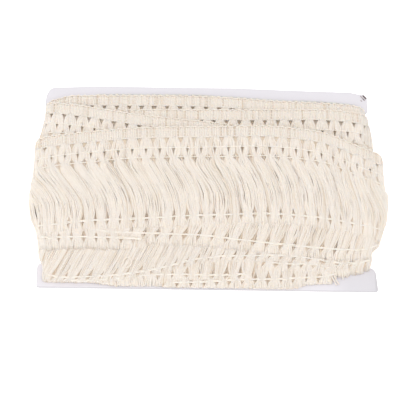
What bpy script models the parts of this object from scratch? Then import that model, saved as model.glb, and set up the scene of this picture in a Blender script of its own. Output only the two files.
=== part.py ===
"""A roll of cotton tassel fringe, one long trim wound round a white card, lying on its back.

Metres, +Z up. The card is level, its long side along X, and the fringe hangs towards -Y.
Sizes and tables are written in millimetres and turned into metres by MM.

A place on the winding has three numbers: its run, which goes once round the card from the
left end of the front, over the right side, the back and the left side; its reach, how far it
lies outside the slot for the card; and its y."""

import math

import bmesh
import bpy

MM = 0.001

# Card
CARD_LENGTH = 280.0
CARD_HEIGHT = 178.0
CARD_THICKNESS = 3.0
RECESS_DEPTH = 7.4
RECESS_TOP = 71.0
RECESS_BOTTOM = -68.5
RECESS_SLOPE = 4.0
CORNER_TOP_LEFT = 10.0
CORNER_TOP_RIGHT = 5.0
CORNER_BOTTOM = 2.0
CORNER_RECESS = 2.5
CORNER_STEPS = 3

# Path of the winding round the card
GAP = 0.3
SLOT_HALF = CARD_THICKNESS / 2 + GAP
STRAIGHT_HALF = 132.5
FULL_REACH = 13.2
MIDDLE_HEIGHT = SLOT_HALF + FULL_REACH
FRONT_CROWN = 1.5
FRONT_RUN = 2 * STRAIGHT_HALF
SIDE_RUN = 42.4
LOOP_RUN = 2 * FRONT_RUN + 2 * SIDE_RUN

# Trim: heading on top, knotted lattice, tassels, tack thread, cut ends
BUNDLES = 55
PITCH = LOOP_RUN / BUNDLES
HEADING_HEIGHT = 9.0
LATTICE_GAP = 0.3
TOOTH_LENGTH = 4.2
THREAD_HEIGHT = 1.4
LEAN_MIDDLE = 17.0
LEAN_CHANGE = 6.0
END_UNEVENNESS = 1.2

# Runs at which the tables below give a height
PLACES = {
    "left_side": -SIDE_RUN / 2,
    "x_minus_130": STRAIGHT_HALF - 130,
    "x_minus_105": STRAIGHT_HALF - 105,
    "x_minus_65": STRAIGHT_HALF - 65,
    "x_0": STRAIGHT_HALF,
    "x_65": STRAIGHT_HALF + 65,
    "x_105": STRAIGHT_HALF + 105,
    "x_130": STRAIGHT_HALF + 130,
    "right_side": FRONT_RUN + SIDE_RUN / 2,
    "back_x_65": FRONT_RUN + SIDE_RUN + STRAIGHT_HALF - 65,
    "back_x_minus_65": FRONT_RUN + SIDE_RUN + STRAIGHT_HALF + 65,
}

# Height of each line of the trim, in the order of PLACES
LINES = {
    "outer_heading": (34, 38.5, 42, 46.3, 49, 50.2, 44, 33.5, 27, 37, 37),
    "outer_tack": (-40, -40.8, -38.2, -34.7, -30, -28.8, -32, -36.5, -42, -41, -41),
    "top_heading_1": (68, 74.5, 79.5, 80.6, 82, 79.5, 77.6, 73.5, 67, 72, 74),
    "top_heading_2": (59, 61.5, 64, 65.8, 67.4, 69, 70, 68, 62, 60, 59),
    "top_heading_3": (64, 68, 67, 61.3, 55, 48.5, 43, 38.5, 35, 45, 58),
    "lower_tack_1": (-60, -70, -82, -82, -82.5, -79, -78, -70, -60, -60, -60),
    "lower_tack_2": (-60, -76, -82, -80.5, -78, -78, -70, -60, -60, -60, -60),
    "lower_tack_3": (-55, -66, -79, -78.5, -65, -63.4, -69, -61, -54.5, -57, -58),
    "lower_tack_4": (-48, -49.2, -50, -50.6, -49, -47, -46, -45, -45, -46, -47),
    "lower_tack_5": (-42, -42, -43.5, -45.9, -48.4, -53.9, -56.4, -55, -48, -47, -44),
}

# Turns of which only the heading shows: reach of the inner and outer face, first and last x of the teeth
TOP_TURNS = {
    "top_turn_1": ("top_heading_1", 2.2, 4.0, -95, 40),
    "top_turn_2": ("top_heading_2", 4.8, 6.6, -5, 128),
    "top_turn_3": ("top_heading_3", 7.4, 9.3, -128, -5),
}

# Turns of which only the ends show: reach of the inner and outer face, of the face under the
# thread, lean of the tassels, first and last x, or none where the turn goes all the way round
LOWER_TURNS = {
    "lower_turn_1": ("lower_tack_1", 1.9, 3.2, 2.5, -4, (-30, 112)),
    "lower_turn_2": ("lower_tack_2", 3.6, 4.9, 4.2, -6, (-104, 34)),
    "lower_turn_3": ("lower_tack_3", 5.3, 6.7, 6.0, -10, None),
    "lower_turn_4": ("lower_tack_4", 7.1, 8.3, 7.6, 3, (-128, -36)),
    "lower_turn_5": ("lower_tack_5", 8.8, 10.1, 9.4, -5, None),
}
LOWER_STRIP_TOP = -32.0
LOWER_STRIP_HEIGHT = 3.0
LOWER_TASSEL_END = 9.0
LOWEST_END = -CARD_HEIGHT / 2 + 1
TACK_HALF_WIDTH = 3.4
END_HALF_WIDTH = 4.7

# Steps of the inner layers: which line the step follows, how far below it, reach after the step
LAYER_STEPS = (
    ("top_heading_1", 4.0, 1.6),
    ("top_heading_1", 15.5, 4.2),
    ("top_heading_2", 15.5, 6.8),
    ("top_heading_3", 16.5, 9.4),
)
STEP_SLOPE = 1.0
LAYERS_LOWER_STEP = -30.0
LAYERS_LOWER_REACH = 1.4
LAYERS_FRONT_BOTTOM = -79.0
LAYERS_SIDE_BOTTOM = -63.0
LAYERS_SIDE_SLACK = 0.18
LAYERS_RUNS_FRONT = 10
LAYERS_RUNS_SIDE = 8

# Half a bundle of the outer turn on its way down. fall is the share of the way from heading
# to tack thread, apart the distance from the bundle's middle, puff what the front adds
HALF_BUNDLE = (
    dict(fall=0.222, apart=3.60, half_width=1.72, outer=12.8, inner=10.8, lean=0.0, flare=0.5, puff=0.0),
    dict(fall=0.335, apart=1.95, half_width=1.65, outer=12.8, inner=10.8, lean=0.04, flare=1.0, puff=0.0),
    dict(fall=0.45, apart=2.55, half_width=2.20, outer=13.2, inner=10.2, lean=0.30, flare=2.5, puff=0.8),
    dict(fall=0.64, apart=2.60, half_width=2.25, outer=13.2, inner=10.2, lean=0.84, flare=5.0, puff=1.2),
    dict(fall=0.86, apart=2.60, half_width=2.25, outer=13.2, inner=10.5, lean=1.0, flare=2.2, puff=0.6),
    dict(fall=1.00, apart=1.95, half_width=1.60, outer=11.5, inner=10.9, lean=1.0, flare=0.0, puff=0.0),
    dict(fall=1.14, apart=2.60, half_width=2.20, outer=13.0, inner=11.0, lean=1.0, flare=0.5, puff=0.0),
)
WHOLE_BUNDLE = (
    dict(fall=0.335, apart=0.0, half_width=3.40, outer=13.2, inner=10.8, lean=0.04, flare=0.0, puff=0.0),
    dict(fall=0.64, apart=0.0, half_width=4.85, outer=13.2, inner=10.2, lean=0.84, flare=0.0, puff=0.0),
    dict(fall=1.00, apart=0.0, half_width=3.50, outer=11.5, inner=10.9, lean=1.0, flare=0.0, puff=0.0),
    dict(fall=1.14, apart=0.0, half_width=4.60, outer=13.2, inner=10.9, lean=1.0, flare=0.0, puff=0.0),
)
ROOT_APART = 2.20
ROOT_HALF_WIDTH = 1.85
WHOLE_ROOT_HALF_WIDTH = 3.4
OUTER_HEADING_INNER = 11.0

# Colours from the cotton and the board, linear
COTTON = (0.80, 0.70, 0.57, 1.0)
THREAD = (0.88, 0.81, 0.70, 1.0)
BOARD = (0.82, 0.80, 0.84, 1.0)


def height_of(line, run):
    """Height of a line of the trim at a run, on a smooth closed curve through its table."""
    places = list(PLACES.values())
    heights = LINES[line]
    count = len(places)
    run = (run - places[0]) % LOOP_RUN + places[0]
    index = max(i for i in range(count) if places[i] <= run)

    def knot(i):
        return places[i % count] + LOOP_RUN * (i // count), heights[i % count]

    def slope(i):
        (before, low), (at, here), (after, high) = knot(i - 1), knot(i), knot(i + 1)
        into, out = (here - low) / (at - before), (high - here) / (after - at)
        return (into * (after - at) + out * (at - before)) / (after - before)

    (start, first), (end, last) = knot(index), knot(index + 1)
    length = end - start
    t = (run - start) / length
    return (
        first * (2 * t**3 - 3 * t**2 + 1)
        + last * (3 * t**2 - 2 * t**3)
        + slope(index) * length * (t**3 - 2 * t**2 + t)
        + slope(index + 1) * length * (t**3 - t**2)
    )


def on_front(run):
    """1 in the middle of the front, 0 on the sides and the back."""
    run %= LOOP_RUN
    return 1 - (run / STRAIGHT_HALF - 1) ** 4 if run < FRONT_RUN else 0.0


def on_side(run):
    """0 on the front and the back, 1 half way round a side."""
    run %= FRONT_RUN + SIDE_RUN
    return math.sin(math.pi * (run - FRONT_RUN) / SIDE_RUN) ** 2 if run > FRONT_RUN else 0.0


def point(run, reach, y):
    """A place on the winding, in metres."""
    run %= LOOP_RUN
    mirrored = run >= FRONT_RUN + SIDE_RUN
    run -= (FRONT_RUN + SIDE_RUN) * mirrored
    if run < FRONT_RUN:
        x, height = run - STRAIGHT_HALF, SLOT_HALF + reach
        if not mirrored:
            height += FRONT_CROWN * (1 - (x / STRAIGHT_HALF) ** 2) * min(reach, 1)
    else:
        angle = math.pi * (run - FRONT_RUN) / SIDE_RUN
        x = STRAIGHT_HALF + (SLOT_HALF + reach) * math.sin(angle)
        height = (SLOT_HALF + reach) * math.cos(angle)
    if mirrored:
        x, height = -x, -height
    return x * MM, y * MM, (MIDDLE_HEIGHT + height) * MM


def unevenness(number):
    """A fixed uneven value from -1 to 1 for a tassel's number."""
    return math.sin(12.9898 * number + 1.7) * math.cos(4.1 * number)


def even_runs(start, end, step):
    count = max(1, round((end - start) / step))
    return [start + (end - start) * i / count for i in range(count)]


def plain_runs():
    """Runs all the way round, close enough to follow the round sides."""
    runs = []
    for first in (0, FRONT_RUN + SIDE_RUN):
        runs += even_runs(first, first + FRONT_RUN, PITCH * 2)
        runs += even_runs(first + FRONT_RUN, first + FRONT_RUN + SIDE_RUN, SIDE_RUN / 10)
    return runs


def keep_apart(runs, roots, closed):
    """The runs of a band: each root's two edges, and the plain runs that lie well clear of them."""
    edges = [edge for root in roots for edge in root]
    if not closed:
        runs = [run for run in runs if edges[0] < run < edges[-1]]
    between = [
        run
        for run in runs
        if all(run < low - 1.5 or run > high + 1.5 for low, high in roots)
        and not any(abs(run - edge) < 1.5 for edge in edges)
    ]
    return sorted(edges + between)


def add_band(mesh, runs, closed, inner, outer, top, bottom):
    """A strip of four sides along the winding. Gives its lower faces by the run where they start."""
    rungs = []
    for run in runs:
        corners = ((outer, top), (outer, bottom), (inner, bottom), (inner, top))
        rungs.append([mesh.verts.new(point(run, reach, edge(run))) for reach, edge in corners])
    lower = {}
    for i in range(len(rungs) - (not closed)):
        here, after = rungs[i], rungs[(i + 1) % len(rungs)]
        for side in range(4):
            other = (side + 1) % 4
            face = mesh.faces.new((here[side], after[side], after[other], here[other]))
            if side == 1:
                lower[runs[i]] = face
    if not closed:
        mesh.faces.new(rungs[0])
        mesh.faces.new(rungs[-1])
    return lower


def grow_lock(mesh, face, sections):
    """Draws a band's lower face out into a lock of four sides through its sections.

    flare is what a section gains in reach on the sides, puff what it gains on the front."""
    for middle, half_width, outer, inner, y, flare, puff in sections:
        face = bmesh.ops.extrude_discrete_faces(mesh, faces=[face])["faces"][0]
        places = (
            (middle - half_width, outer),
            (middle + half_width, outer),
            (middle + half_width, inner),
            (middle - half_width, inner),
        )
        for vert, (run, reach) in zip(face.verts, places):
            vert.co = point(run, reach + flare * on_side(run) + puff * on_front(run), y)


def add_object(name, mesh, material, collection):
    bmesh.ops.recalc_face_normals(mesh, faces=mesh.faces)
    data = bpy.data.meshes.new(name)
    mesh.to_mesh(data)
    mesh.free()
    data.materials.append(material)
    obj = bpy.data.objects.new(name, data)
    collection.objects.link(obj)
    return obj


def make_material(name, colour, roughness):
    material = bpy.data.materials.new(name)
    material.use_nodes = True
    shader = material.node_tree.nodes["Principled BSDF"]
    shader.inputs["Base Color"].default_value = colour
    shader.inputs["Roughness"].default_value = roughness
    shader.inputs["Metallic"].default_value = 0.0
    return material


def rounded(corners):
    """The outline through the corners, each rounded by its own radius."""
    outline = []
    for i, (x, y, radius) in enumerate(corners):
        sides = []
        for other in (corners[i - 1], corners[(i + 1) % len(corners)]):
            length = math.hypot(other[0] - x, other[1] - y)
            sides.append(((other[0] - x) / length, (other[1] - y) / length))
        (ax, ay), (bx, by) = sides
        half_angle = math.acos(max(-1.0, min(1.0, ax * bx + ay * by))) / 2
        back = radius / math.tan(half_angle)
        for step in range(CORNER_STEPS + 1):
            t = step / CORNER_STEPS
            # A quadratic curve with its handle on the corner, close to an arc at these sizes
            near, far = back * (1 - t) ** 2, back * t**2
            outline.append((x + ax * near + bx * far, y + ay * near + by * far))
    return outline


def make_card(material, collection):
    """The board: ears at its corners hold the winding between them."""
    half, high = CARD_LENGTH / 2, CARD_HEIGHT / 2
    waist = half - RECESS_DEPTH
    corners = [
        (-half, -high, CORNER_BOTTOM),
        (half, -high, CORNER_BOTTOM),
        (half, RECESS_BOTTOM - RECESS_SLOPE, CORNER_RECESS),
        (waist, RECESS_BOTTOM, CORNER_RECESS),
        (waist, RECESS_TOP, CORNER_RECESS),
        (half, RECESS_TOP + RECESS_SLOPE, CORNER_RECESS),
        (half, high, CORNER_TOP_RIGHT),
        (-half, high, CORNER_TOP_LEFT),
        (-half, RECESS_TOP + RECESS_SLOPE, CORNER_RECESS),
        (-waist, RECESS_TOP, CORNER_RECESS),
        (-waist, RECESS_BOTTOM, CORNER_RECESS),
        (-half, RECESS_BOTTOM - RECESS_SLOPE, CORNER_RECESS),
    ]
    outline = rounded(corners)
    curve = bpy.data.curves.new("card", "CURVE")
    curve.dimensions = "2D"
    curve.fill_mode = "BOTH"
    curve.extrude = CARD_THICKNESS / 2 * MM
    spline = curve.splines.new("POLY")
    spline.points.add(len(outline) - 1)
    for place, (x, y) in zip(spline.points, outline):
        place.co = (x * MM, y * MM, 0, 1)
    spline.use_cyclic_u = True
    curve.materials.append(material)
    card = bpy.data.objects.new("card", curve)
    card.location.z = MIDDLE_HEIGHT * MM
    collection.objects.link(card)


def layer_edges(run):
    """Height and reach of the inner layers from their top edge to their bottom edge, at a run."""
    limit = math.inf
    edges = []
    reach_before = None
    for line, below, reach in LAYER_STEPS:
        y = min(height_of(line, run) - below, limit - 2 * STEP_SLOPE)
        if reach_before is not None:
            edges.append((y + STEP_SLOPE, reach_before))
        edges.append((y, reach))
        reach_before, limit = reach, y
    bottom = LAYERS_SIDE_BOTTOM
    if run % (FRONT_RUN + SIDE_RUN) < FRONT_RUN:
        across = (run % (FRONT_RUN + SIDE_RUN)) / FRONT_RUN
        bottom += (LAYERS_FRONT_BOTTOM - LAYERS_SIDE_BOTTOM) * math.sin(math.pi * across) ** 0.5
    edges.append((LAYERS_LOWER_STEP, reach_before))
    edges.append((LAYERS_LOWER_STEP - STEP_SLOPE, LAYERS_LOWER_REACH))
    edges.append((bottom, LAYERS_LOWER_REACH))
    return edges


def make_layers(material, collection):
    """The inner layers as one solid: a flat stepped tube with a slot for the card."""
    runs = []
    for first in (0, FRONT_RUN + SIDE_RUN):
        runs += even_runs(first, first + FRONT_RUN, FRONT_RUN / LAYERS_RUNS_FRONT)
        side = first + FRONT_RUN
        runs += even_runs(side, side + SIDE_RUN, SIDE_RUN / LAYERS_RUNS_SIDE)
    mesh = bmesh.new()
    rungs = []
    for run in runs:
        edges = layer_edges(run)
        profile = [(edges[0][0], 0.0)] + edges + [(edges[-1][0], 0.0)]
        tight = 1 - LAYERS_SIDE_SLACK * on_side(run) ** 0.25
        rungs.append([mesh.verts.new(point(run, reach * tight, y)) for y, reach in profile])
    for i, here in enumerate(rungs):
        after = rungs[(i + 1) % len(rungs)]
        for side in range(len(here)):
            other = (side + 1) % len(here)
            mesh.faces.new((here[side], after[side], after[other], here[other]))
    add_object("inner_layers", mesh, material, collection)


def make_outer_turn(material, collection):
    """Heading and tassels of the turn that lies on top: halves of a bundle on front and sides, whole ones behind."""
    roots = []
    for number in range(BUNDLES):
        middle = (number + 0.5) * PITCH
        behind = FRONT_RUN + SIDE_RUN < middle < 2 * FRONT_RUN + SIDE_RUN - LEAN_MIDDLE - PITCH / 2
        halves = (0,) if behind else (-1, 1)
        for half in halves:
            width = WHOLE_ROOT_HALF_WIDTH if behind else ROOT_HALF_WIDTH
            place = middle + half * ROOT_APART
            roots.append((place - width, place + width, middle, half, number))
    edges = [(low, high) for low, high, *_ in roots]
    runs = keep_apart(plain_runs(), edges, True)
    mesh = bmesh.new()
    lower = add_band(
        mesh,
        runs,
        True,
        OUTER_HEADING_INNER,
        FULL_REACH,
        lambda run: height_of("outer_heading", run),
        lambda run: height_of("outer_heading", run) - HEADING_HEIGHT,
    )
    for low, _, middle, half, number in roots:
        lean = LEAN_MIDDLE + LEAN_CHANGE * math.cos(2 * math.pi * middle / LOOP_RUN)
        head = height_of("outer_heading", middle)
        tack = height_of("outer_tack", middle + lean)
        sections = []
        for row in HALF_BUNDLE if half else WHOLE_BUNDLE:
            place = middle + half * row["apart"] + lean * row["lean"]
            y = head + (tack - head) * row["fall"]
            if row["fall"] > 1:
                y += END_UNEVENNESS * unevenness(2 * number + half)
            shape = (row["half_width"], row["outer"], row["inner"])
            sections.append((place, *shape, y, row["flare"], row["puff"]))
        grow_lock(mesh, lower[low], sections)
    add_object("outer_turn", mesh, material, collection)


def make_top_turn(name, material, collection):
    """A heading that shows above the outer turn, with the first knots of its lattice as teeth."""
    line, inner, outer, first_x, last_x = TOP_TURNS[name]
    roots = []
    for number in range(BUNDLES):
        middle = (number + 0.5) * PITCH
        if first_x < middle - STRAIGHT_HALF < last_x:
            roots.append((middle - ROOT_APART - ROOT_HALF_WIDTH, middle + ROOT_APART + ROOT_HALF_WIDTH))
    mesh = bmesh.new()
    lower = add_band(
        mesh,
        keep_apart(plain_runs(), roots, True),
        True,
        inner,
        outer,
        lambda run: height_of(line, run),
        lambda run: height_of(line, run) - HEADING_HEIGHT,
    )
    for low, high in roots:
        middle = (low + high) / 2
        y = height_of(line, middle) - HEADING_HEIGHT
        width = PITCH / 2 - LATTICE_GAP
        grow_lock(mesh, lower[low], [(middle, width, outer - 0.3, inner + 0.1, y - TOOTH_LENGTH, 0, 0)])
    add_object(name, mesh, material, collection)


def make_lower_turn(name, material, collection):
    """The lower end of a turn whose upper part lies under the others: strip, tassels and cut ends."""
    line, inner, outer, pinch, lean, reach_of_x = LOWER_TURNS[name]
    closed = reach_of_x is None
    roots = []
    for number in range(BUNDLES):
        middle = (number + 0.5) * PITCH
        if closed or reach_of_x[0] < middle - STRAIGHT_HALF < reach_of_x[1]:
            roots.append((middle - WHOLE_ROOT_HALF_WIDTH, middle + WHOLE_ROOT_HALF_WIDTH))
    mesh = bmesh.new()
    lower = add_band(
        mesh,
        keep_apart(plain_runs(), roots, closed),
        closed,
        inner,
        outer,
        lambda run: LOWER_STRIP_TOP,
        lambda run: LOWER_STRIP_TOP - LOWER_STRIP_HEIGHT,
    )
    for number, (low, high) in enumerate(roots):
        place = (low + high) / 2 + lean
        tack = height_of(line, place)
        end = tack - LOWER_TASSEL_END + END_UNEVENNESS * unevenness(number + inner)
        sections = (
            (place, TACK_HALF_WIDTH, pinch, inner, tack, 0, 0),
            (place, END_HALF_WIDTH, outer, inner + 0.2, max(end, LOWEST_END), 0, 0),
        )
        grow_lock(mesh, lower[low], sections)
    add_object(name, mesh, material, collection)


def make_thread(name, line, inner, outer, reach_of_x, material, collection):
    """The thread that holds the tassels of a turn together, a flat stitched line."""
    closed = reach_of_x is None
    runs = plain_runs()
    if not closed:
        first, last = (x + STRAIGHT_HALF for x in reach_of_x)
        runs = [first] + [run for run in runs if first + 2 < run < last - 2] + [last]
    mesh = bmesh.new()
    add_band(
        mesh,
        runs,
        closed,
        inner,
        outer,
        lambda run: height_of(line, run) + THREAD_HEIGHT / 2,
        lambda run: height_of(line, run) - THREAD_HEIGHT / 2,
    )
    add_object(name, mesh, material, collection)


def main():
    for obj in list(bpy.data.objects):
        bpy.data.objects.remove(obj)
    collection = bpy.data.collections.new("tassel_fringe_roll")
    bpy.context.scene.collection.children.link(collection)
    cotton = make_material("cotton", COTTON, 0.95)
    thread = make_material("tack_thread", THREAD, 0.85)
    board = make_material("board", BOARD, 0.6)
    make_card(board, collection)
    make_layers(cotton, collection)
    make_outer_turn(cotton, collection)
    for name in TOP_TURNS:
        make_top_turn(name, cotton, collection)
    for name in LOWER_TURNS:
        make_lower_turn(name, cotton, collection)
    make_thread("outer_thread", "outer_tack", 12.15, 13.1, None, thread, collection)
    for name, (line, _, _, pinch, lean, reach_of_x) in LOWER_TURNS.items():
        span = reach_of_x and (reach_of_x[0] + lean, reach_of_x[1] + lean)
        number = name.rsplit("_", 1)[1]
        make_thread(f"lower_thread_{number}", line, pinch + 0.35, pinch + 1.0, span, thread, collection)


main()
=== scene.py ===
"""Looks of the roll of tassel fringe: cotton yarn, heading, knotted lattice and threads on a white card.

Sizes are written in millimetres and turned into metres by MM. A place on the winding has a run,
which goes once round the card from the left end of the front; a reach, how far it lies outside the
slot for the card; and its y. A turn of the trim is measured downwards from the top of its heading:
that distance is called fall."""

import math

import bpy
import numpy as np
from mathutils import Matrix, Vector


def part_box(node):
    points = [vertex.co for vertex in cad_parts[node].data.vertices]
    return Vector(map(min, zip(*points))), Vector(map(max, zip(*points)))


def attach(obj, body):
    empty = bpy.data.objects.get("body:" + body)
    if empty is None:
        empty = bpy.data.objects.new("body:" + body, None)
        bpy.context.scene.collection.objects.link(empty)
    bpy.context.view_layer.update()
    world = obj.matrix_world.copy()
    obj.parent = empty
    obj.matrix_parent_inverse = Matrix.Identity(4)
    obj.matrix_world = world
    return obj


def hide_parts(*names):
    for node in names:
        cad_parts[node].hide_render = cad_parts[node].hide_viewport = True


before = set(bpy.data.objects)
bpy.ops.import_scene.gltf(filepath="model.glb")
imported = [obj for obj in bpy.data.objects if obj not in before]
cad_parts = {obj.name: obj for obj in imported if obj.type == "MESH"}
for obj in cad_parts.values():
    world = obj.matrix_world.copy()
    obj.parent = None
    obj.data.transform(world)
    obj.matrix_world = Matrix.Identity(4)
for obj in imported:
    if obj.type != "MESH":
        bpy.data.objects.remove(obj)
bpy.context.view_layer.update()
MM = 0.001

# Path of the winding round the card
card_low, card_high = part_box("card")
MIDDLE_HEIGHT = (card_low.z + card_high.z) / 2 / MM
SLOT_HALF = (card_high.z - card_low.z) / 2 / MM + 0.3
STRAIGHT_HALF = 132.5
FULL_REACH = MIDDLE_HEIGHT - SLOT_HALF
FRONT_CROWN = 1.5
FRONT_RUN = 2 * STRAIGHT_HALF
SIDE_RUN = 42.4
LOOP_RUN = 2 * FRONT_RUN + 2 * SIDE_RUN
BUNDLES = 55
PITCH = LOOP_RUN / BUNDLES

# Card: a recess in each side leaves ears at its corners
CARD_LENGTH = (card_high.x - card_low.x) / MM
CARD_HEIGHT = (card_high.y - card_low.y) / MM
CARD_THICKNESS = (card_high.z - card_low.z) / MM
CARD_TOP = card_high.z / MM
EAR_DEPTH = 7.4
RECESS_TOP = 71.0
RECESS_BOTTOM = -68.5
CORNER_TOP_LEFT = 12.5
CORNER_TORN = 3.2
CORNER_SMALL = 2.0
CORNER_RECESS = 2.5
CORNER_LEFT_EAR = 4.0
CORNER_RIGHT_EAR = 6.0
EDGE_SOFTNESS = 0.5
# The card's long upper edge bows upwards: place along it, rise
TOP_EDGE_BOW = (
    (-118, 0.7), (-100, 1.9), (-67, 2.3), (-30, 2.4), (0, 2.9), (22, 3.2), (55, 2.5), (90, 1.9), (125, 1.5),
)
RIGHT_CORNER_OUT = 1.2
# Plies laid open at the torn corner: middle, length, width
TORN_PLIES = (
    ((137.9, 86.2), 4.4, 1.3),
    ((135.9, 85.4), 5.2, 1.0),
    ((137.1, 83.8), 2.6, 0.8),
    ((134.8, 82.7), 1.7, 0.7),
)
TORN_SLANT = 50
PLY_THICKNESS = 0.5
PLY_RISE = 0.1
PLY_SOFTNESS = 0.12

# Mottled colours of the board's face, and the colour of its cut walls: the grey of the cut board, painted
# darker as shade on the walls
BOARD_COLOURS = ((0.725, 0.70, 0.738), (0.765, 0.74, 0.778))
WALL_COLOUR = (0.58, 0.565, 0.59, 1)
# Where the face takes the wall's colour: darker towards the right end of the lower right ear, painted shade
# along its right edge, both only below a height: start, end, share of the wall's colour
EAR_DARKENING = (100, 118, 0.42)
RIGHT_EDGE_PAINTED_SHADE = (138.2, 140.4, 0.9)
DARKENING_BELOW = (-62, -66, 1.0)


# Cottons: colour, colour of the deep tones, roughness, pitch of the plies. The deep tones are painted shade
# on under yarns and hidden layers, and the hidden cotton is darker as painted shade
COTTONS = {
    "cotton_yarn": ((0.95, 0.85, 0.752), (0.68, 0.53, 0.39), 0.95, 3.0),
    "heading_cotton": ((0.885, 0.80, 0.715), (0.66, 0.54, 0.42), 0.95, 1.5),
    "white_thread": ((0.94, 0.855, 0.76), (0.90, 0.80, 0.69), 0.85, 1.6),
    "hidden_cotton_in_shade": ((0.88, 0.785, 0.67), (0.55, 0.43, 0.32), 0.95, 3.0),
    "shaded_cotton": ((0.70, 0.69, 0.66), (0.56, 0.54, 0.50), 0.95, 1.5),
}

# Trim, measured down from the top of the heading
HEADING_HEIGHT = 9.0
# Cords along the heading: fall, radius, how far above the ribs
HEADING_CORDS = ((0.3, 0.5, 0.0), (8.7, 0.5, 0.0), (3.2, 0.36, -0.02), (6.0, 0.36, -0.04))
RIB_FALLS = np.array([0.35, 1.2, 3.0, 5.0, 7.0, 8.3, 9.4])
RIB_LIFTS = np.array([-0.8, -0.25, 0.05, 0.1, 0.1, -0.05, -0.5])
RIBS_PER_BUNDLE = 8
RIB_RADIUS = 0.9
RIB_TONE = 0.25
RIB_TONE_SPREAD = 0.65
SCALLOP = 0.8
STITCHES_PER_BUNDLE = 4
STITCH_STEPS = 3
THREAD_FALLS = (18.4, 27.1)
TACK_FALL = 79.0
END_FALL = 88.0
YARN_RADIUS = 0.56
STRAND_RADIUS = 0.3

# Threads: how deep they lie in the yarns, and further at the lattice and at the tack
THREAD_DEPTH = 0.3
LATTICE_THREAD_SUNK = 0.05
TACK_THREAD_SUNK = 0.2
THREAD_LIFT = 0.2
THREAD_STEP = 1.6
LATTICE_THREAD_RADIUS = 0.45
LATTICE_DIP = 0.35
TACK_THREAD_RADIUS = 0.44
TACK_ASIDES = (-0.34, 0.34)
# Heights of the lines of the trim: on the left side, at places x on the front, on the right side,
# and on the back at x 65 and -65
LINES = {
    "outer_heading": (
        34,
        ((-130, 38.5), (-105, 42), (-65, 46.3), (0, 49), (65, 50.2), (105, 44), (130, 33.5)),
        27, 37, 37,
    ),
    "outer_tack": (
        -42,
        ((-130, -39.6), (-105, -36.2), (-65, -33.9), (0, -29.4), (65, -27.6), (105, -31.6), (130, -36)),
        -41, -41, -41,
    ),
    "top_heading_1": (
        73,
        ((-130, 76), (-120, 79), (-105, 79.8), (-65, 80.6), (0, 80.9), (65, 78.1), (105, 77.3), (130, 75.4)),
        70, 72, 74,
    ),
    "top_heading_2": (
        59,
        ((-130, 61.5), (-105, 64), (-65, 65.8), (0, 67.4), (65, 69), (105, 70), (130, 68)),
        62, 60, 59,
    ),
    "top_heading_3": (
        69,
        ((-130, 70), (-105, 67.5), (-65, 61.3), (0, 55), (65, 48.5), (105, 43), (130, 38.5)),
        35, 45, 58,
    ),
    "lower_tack_1": (
        -58,
        ((-40, -85), (-13, -84.1), (18, -81.9), (38, -80.9), (60, -80.1), (71, -79.5), (92, -78)),
        -60, -60, -60,
    ),
    "lower_tack_2": (-58, ((-125, -80), (-82, -82.8), (-64, -80.5), (-18, -78), (14, -78)), -60, -60, -60),
    "lower_tack_3": (
        -55,
        (
            (-131, -79.6), (-126, -81.2), (-105, -81.7), (-87, -80.7), (-46, -75), (-3, -64.2), (34, -61.9),
            (60, -61.2), (87, -63.6), (104, -66.2), (117, -67), (129, -65),
        ),
        -56, -57, -58,
    ),
    "lower_tack_4": (-47, ((-131, -49.8), (-112, -49.1), (-72, -49.3), (-50, -51)), -46, -46, -47),
    "lower_tack_5": (
        -42,
        (
            (-130, -38.5), (-105, -39.5), (-85, -43.8), (-67, -44.9), (-42, -45.3), (-3, -46.4), (26, -49.3),
            (59, -52.6), (92, -55.1), (117, -56.4), (129, -55.5),
        ),
        -46, -46, -44,
    ),
    "right_tack": (-58, ((50, -67), (67, -67.9), (87, -67.6), (104, -68.6)), -60, -60, -60),
}

# Half a bundle on its way down. near and far are its edges, from the bundle's middle (0) to the
# border with the next bundle (1); knot is where the bundle stands highest, between the same two
# places; lean is the share of the tassels' lean reached there
HALF_BUNDLE = np.array([
    # fall, near, far,  knot, crown, lean
    (8.2, 0.00, 0.54, 0.0, 0.30, 0.00),
    (11.0, 0.00, 0.72, 0.1, 0.35, 0.00),
    (14.2, 0.01, 0.94, 0.5, 0.30, 0.00),
    (17.2, 0.05, 0.97, 0.9, 0.45, 0.00),
    (18.3, 0.24, 0.97, 1.0, 0.55, 0.00),
    (19.5, 0.26, 0.98, 1.0, 0.50, 0.00),
    (22.0, 0.15, 0.98, 0.7, 0.35, 0.00),
    (24.6, 0.05, 0.93, 0.2, 0.35, 0.00),
    (26.4, 0.02, 0.69, 0.0, 0.50, 0.00),
    (27.6, 0.02, 0.60, 0.0, 0.55, 0.01),
    (28.8, 0.01, 0.64, 0.0, 0.58, 0.03),
    (31.0, 0.00, 0.88, 0.0, 0.60, 0.07),
    (34.0, 0.00, 0.98, 0.0, 0.60, 0.13),
    (38.0, 0.00, 1.00, 0.0, 0.60, 0.26),
    (45.0, 0.00, 1.00, 0.0, 0.60, 0.50),
    (53.0, 0.00, 1.00, 0.0, 0.65, 0.74),
    (60.0, 0.00, 1.00, 0.0, 0.65, 0.90),
    (67.0, 0.00, 0.99, 0.0, 0.65, 0.97),
    (72.0, 0.00, 0.93, 0.0, 0.60, 1.00),
    (75.0, 0.00, 0.82, 0.0, 0.60, 1.00),
    (77.5, 0.01, 0.68, 0.0, 0.58, 1.00),
    (79.0, 0.02, 0.62, 0.0, 0.55, 1.00),
    (80.4, 0.02, 0.71, 0.0, 0.50, 1.00),
    (82.6, 0.01, 0.93, 0.0, 0.50, 1.00),
    (85.0, 0.00, 1.03, 0.0, 0.48, 1.00),
    (88.0, 0.00, 1.10, 0.0, 0.45, 1.00),
])
FALLS = HALF_BUNDLE[:, 0]
# How far the yarns bend down onto the layer below, past the tack
END_BEND = ((79.0, 0.0), (80.4, 0.15), (82.6, 0.9), (85.0, 2.05), (88.0, 3.4))

# Deepest and palest tone
TONE_RANGE = (-1.4, 1.0)
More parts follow.
